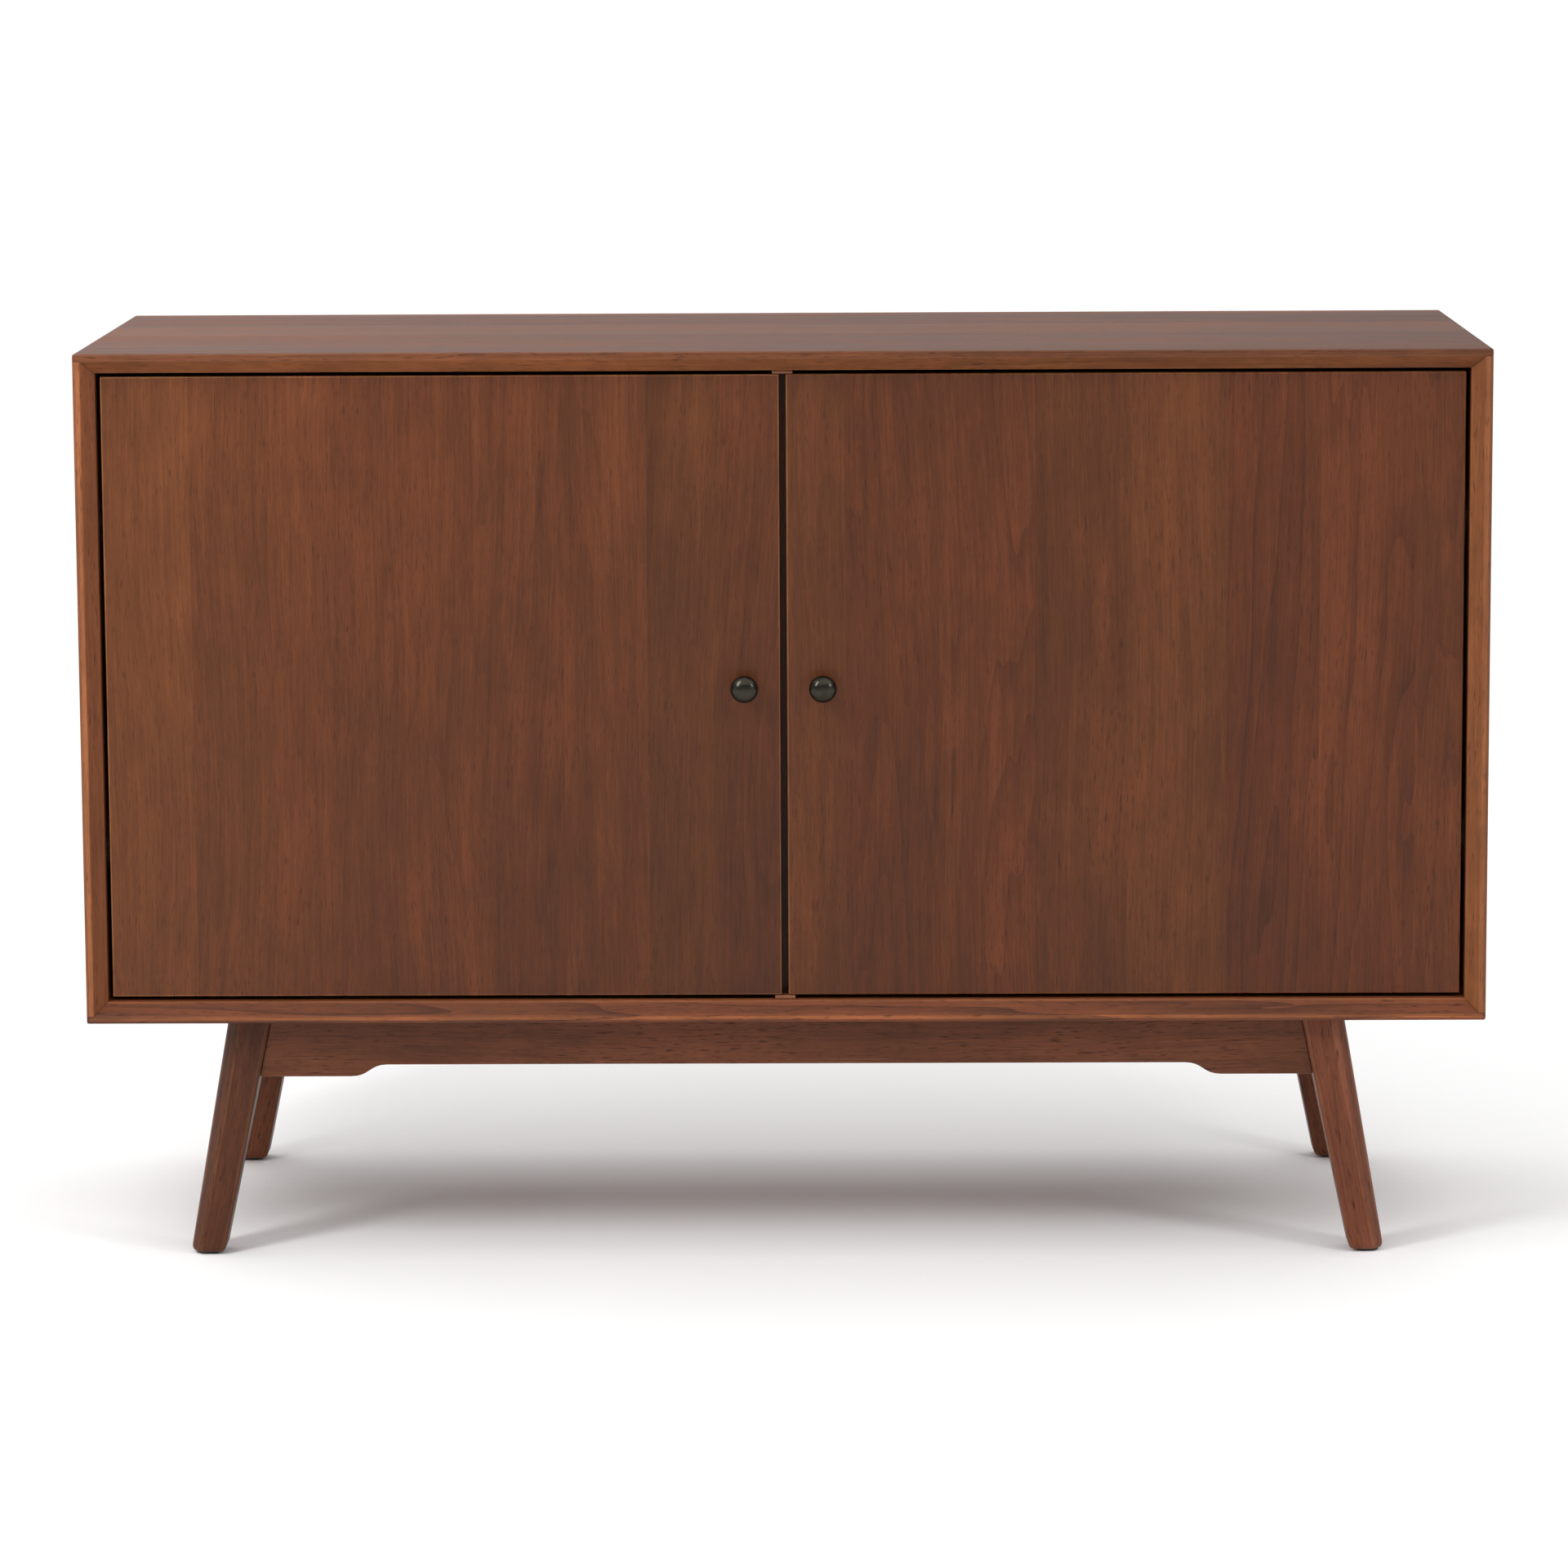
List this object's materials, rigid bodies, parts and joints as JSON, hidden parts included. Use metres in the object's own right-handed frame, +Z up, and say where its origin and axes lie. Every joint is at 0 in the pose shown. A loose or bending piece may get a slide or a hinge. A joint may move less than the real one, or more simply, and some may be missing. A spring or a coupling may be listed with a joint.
{
  "type": "sideboard buffet",
  "caption": "Mid-century sideboard buffet: mitred hardwood case with inset hinged doors, round knobs, adjustable shelves inside and a splayed-leg base with an arched apron.",
  "frame": {"origin": "on the floor, at the middle of the overall box's bottom face", "axes": "+X to the right of someone facing the doors, along the width; +Y from the doors to the back; +Z up"},
  "size_m": [1.3208, 0.4642, 0.8636],
  "materials": {
    "case_wood": "satin reddish-brown stain",
    "door_wood": "satin reddish-brown stain, vertical grain",
    "leg_wood": "satin reddish-brown stain",
    "inner_wood": "matt brown stain",
    "nickel": "satin nickel plate",
    "gunmetal": "dark gunmetal, satin",
    "glide": "matt black plastic"
  },
  "bodies": {
    "cabinet": {"top_panel": "case_wood", "bottom_panel": "case_wood", "left_side_panel": "case_wood", "right_side_panel": "case_wood", "centre_divider": "inner_wood", "back_panel": "inner_wood", "upper_stop_strip": "inner_wood", "lower_stop_strip": "inner_wood", "left_shelf": "inner_wood", "left_shelf_pin_outer_front": "nickel", "left_shelf_pin_outer_rear": "nickel", "left_shelf_pin_inner_front": "nickel", "left_shelf_pin_inner_rear": "nickel", "right_shelf": "inner_wood", "right_shelf_pin_outer_front": "nickel", "right_shelf_pin_outer_rear": "nickel", "right_shelf_pin_inner_front": "nickel", "right_shelf_pin_inner_rear": "nickel", "left_upper_hinge_plate": "nickel", "left_upper_hinge_arm": "nickel", "left_lower_hinge_plate": "nickel", "left_lower_hinge_arm": "nickel", "right_upper_hinge_plate": "nickel", "right_upper_hinge_arm": "nickel", "right_lower_hinge_plate": "nickel", "right_lower_hinge_arm": "nickel", "front_apron": "leg_wood", "front_left_leg": "leg_wood", "front_left_glide": "glide", "front_left_brace": "inner_wood", "front_left_leg_bolt": "nickel", "front_right_leg": "leg_wood", "front_right_glide": "glide", "front_right_brace": "inner_wood", "front_right_leg_bolt": "nickel", "rear_apron": "leg_wood", "rear_left_leg": "leg_wood", "rear_left_glide": "glide", "rear_left_brace": "inner_wood", "rear_left_leg_bolt": "nickel", "rear_right_leg": "leg_wood", "rear_right_glide": "glide", "rear_right_brace": "inner_wood", "rear_right_leg_bolt": "nickel", "left_side_rail": "leg_wood", "right_side_rail": "leg_wood"},
    "left_door_leaf": {"left_door": "door_wood", "left_knob": "gunmetal", "left_knob_screw": "nickel", "left_upper_hinge_cup": "nickel", "left_upper_hinge_pin": "nickel", "left_lower_hinge_cup": "nickel", "left_lower_hinge_pin": "nickel"},
    "right_door_leaf": {"right_door": "door_wood", "right_knob": "gunmetal", "right_knob_screw": "nickel", "right_upper_hinge_cup": "nickel", "right_upper_hinge_pin": "nickel", "right_lower_hinge_cup": "nickel", "right_lower_hinge_pin": "nickel"}
  },
  "joints": [
    {"name": "left_door_hinge", "type": "hinge", "parent": "cabinet", "child": "left_door_leaf", "pos_m": [-0.6236, -0.1967, 0.5461], "axis": [0, 0, -1], "range_deg": [0, 105]},
    {"name": "right_door_hinge", "type": "hinge", "parent": "cabinet", "child": "right_door_leaf", "pos_m": [0.6236, -0.1967, 0.5461], "axis": [0, 0, 1], "range_deg": [0, 105]}
  ]
}
